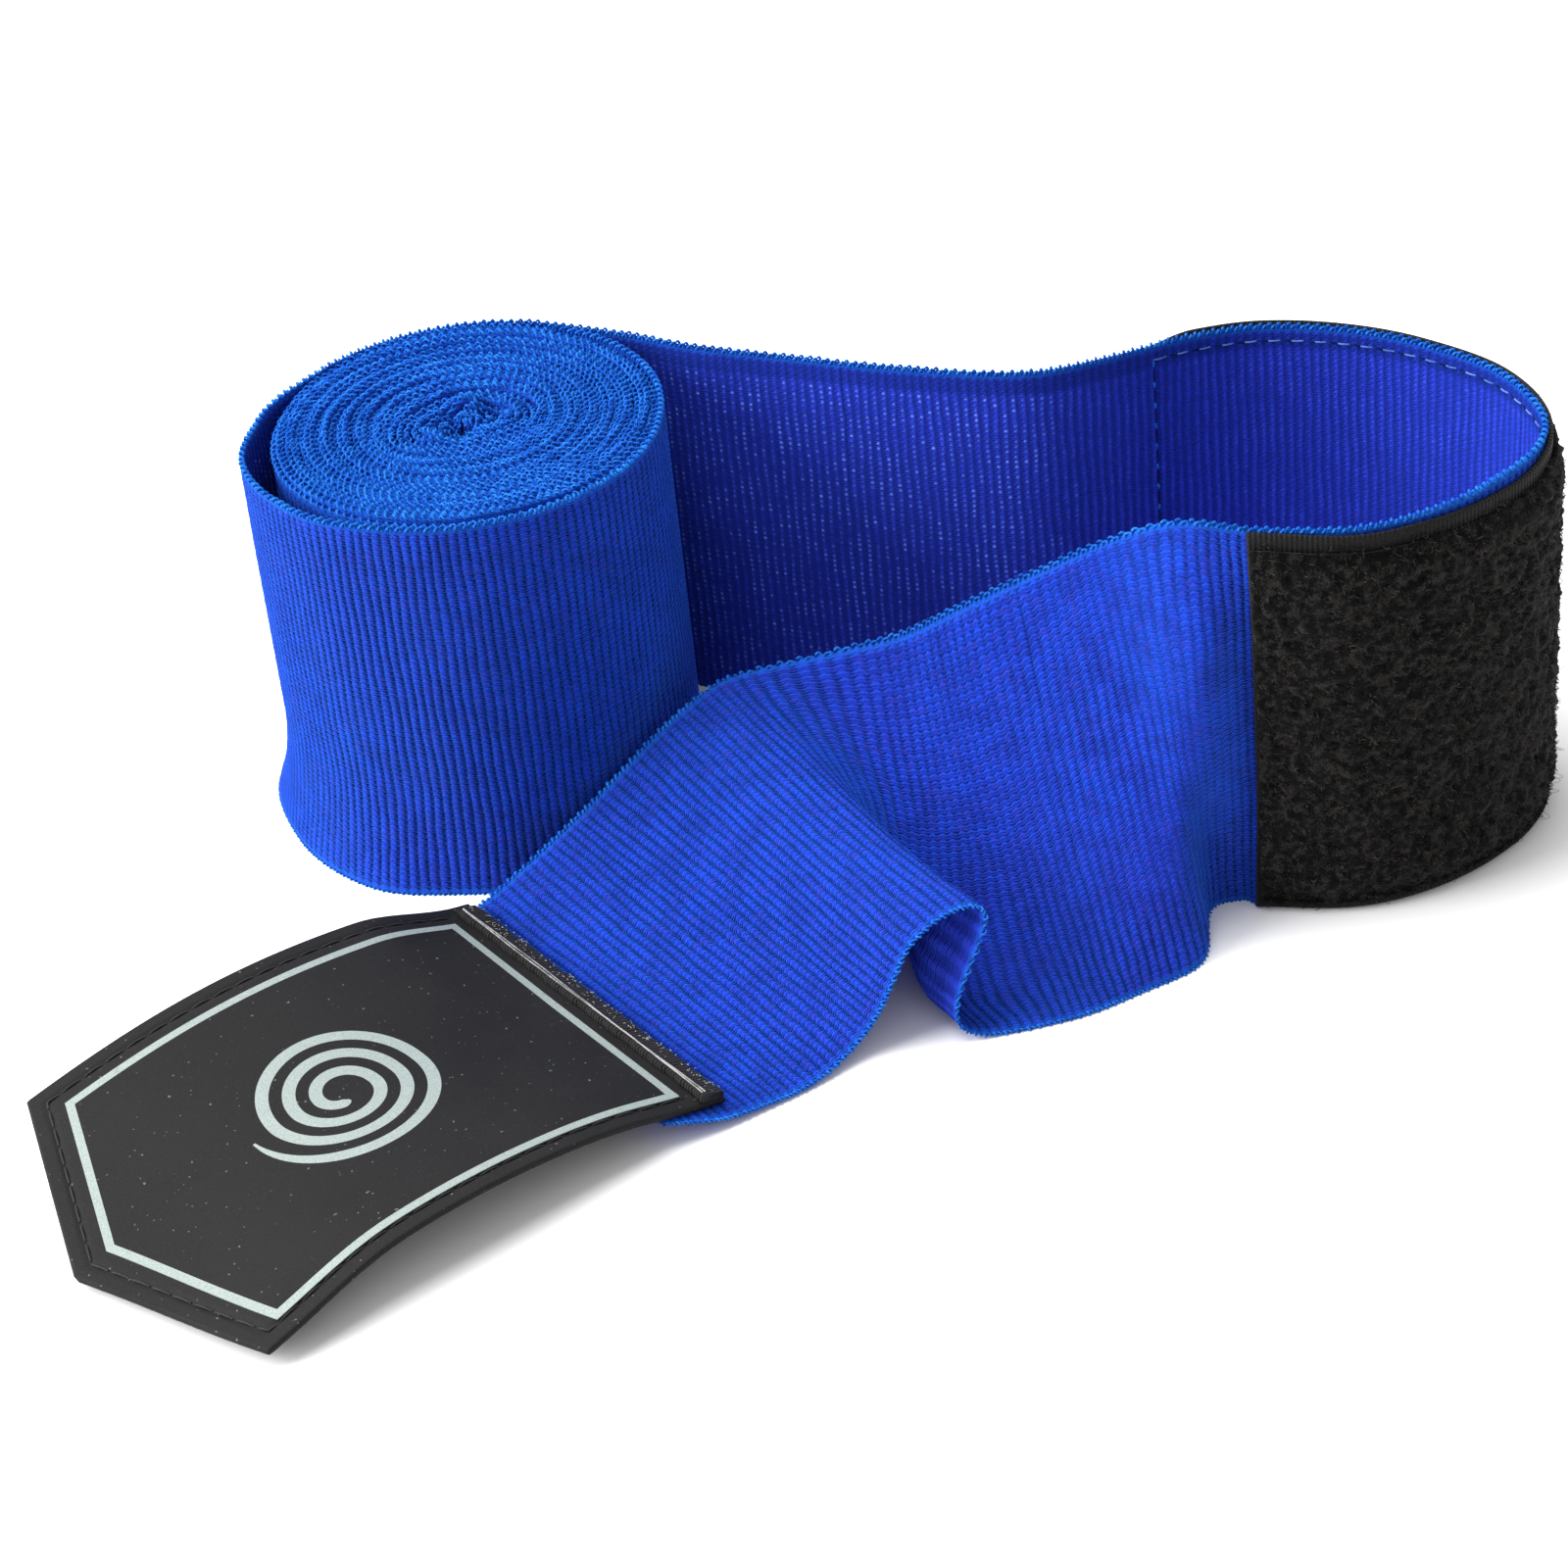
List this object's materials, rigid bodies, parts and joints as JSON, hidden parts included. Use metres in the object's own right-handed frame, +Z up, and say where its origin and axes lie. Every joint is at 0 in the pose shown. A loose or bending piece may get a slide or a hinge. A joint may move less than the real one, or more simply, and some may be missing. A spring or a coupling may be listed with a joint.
{
  "type": "hand wrap",
  "caption": "Rolled knitted hand wrap with its free end out: a U bend carrying a loop-fastener patch, a small hump and a pointed hook tab.",
  "frame": {"origin": "centre of the whole object's bounding box, on the surface it stands on", "axes": "+X from the tab towards the loop patch's bend, +Y towards the roll, +Z up along the roll's axis"},
  "size_m": [0.1794, 0.1304, 0.0501],
  "materials": {
    "band_knit": "ribbed elastic knit, matte, royal blue",
    "band_thread": "sewing thread, slightly lighter blue",
    "black_tape": "woven black nylon tape",
    "black_pile": "brushed black loop pile",
    "tab_face": "matte black coated synthetic",
    "tab_print": "pale grey printed ink",
    "black_thread": "black sewing thread",
    "pale_thread": "clear to pale grey nylon thread"
  },
  "bodies": {
    "root": {"rolled_band": "band_knit", "thumb_loop": "band_knit", "thumb_loop_thread": "pale_thread"},
    "back_run": {"back_run_band": "band_knit"},
    "patch": {"patch_band": "band_knit", "loop_patch_ground": "black_tape", "loop_patch_pile": "black_pile", "loop_patch_thread": "band_thread"},
    "front_run": {"front_run_band": "band_knit"},
    "tab": {"sewn_band_end": "band_knit", "tab_face": "tab_face", "tab_hook_tape": "black_tape", "tab_border_print": "tab_print", "tab_emblem_print": "tab_print", "tab_edge_thread": "black_thread", "tab_binding": "black_tape", "tab_seam_thread": "pale_thread"}
  },
  "joints": [
    {"name": "roll_leave_bend", "type": "hinge", "parent": "root", "child": "back_run", "pos_m": [-0.02353, 0.06205, 0], "axis": [0, 0, 1], "range_deg": [0, 75]},
    {"name": "patch_back_bend", "type": "hinge", "parent": "back_run", "child": "patch", "pos_m": [0.04531, 0.04058, 0], "axis": [0, 0, 1], "range_deg": [0, 60]},
    {"name": "patch_front_bend", "type": "hinge", "parent": "patch", "child": "front_run", "pos_m": [0.05171, -0.00252, 0], "axis": [0, 0, 1], "range_deg": [0, 75]},
    {"name": "tab_fold", "type": "hinge", "parent": "front_run", "child": "tab", "pos_m": [-0.02589, -0.01042, 0.0016], "axis": [-0.5664, 0.8241, 0], "range_deg": [0, 75]}
  ]
}
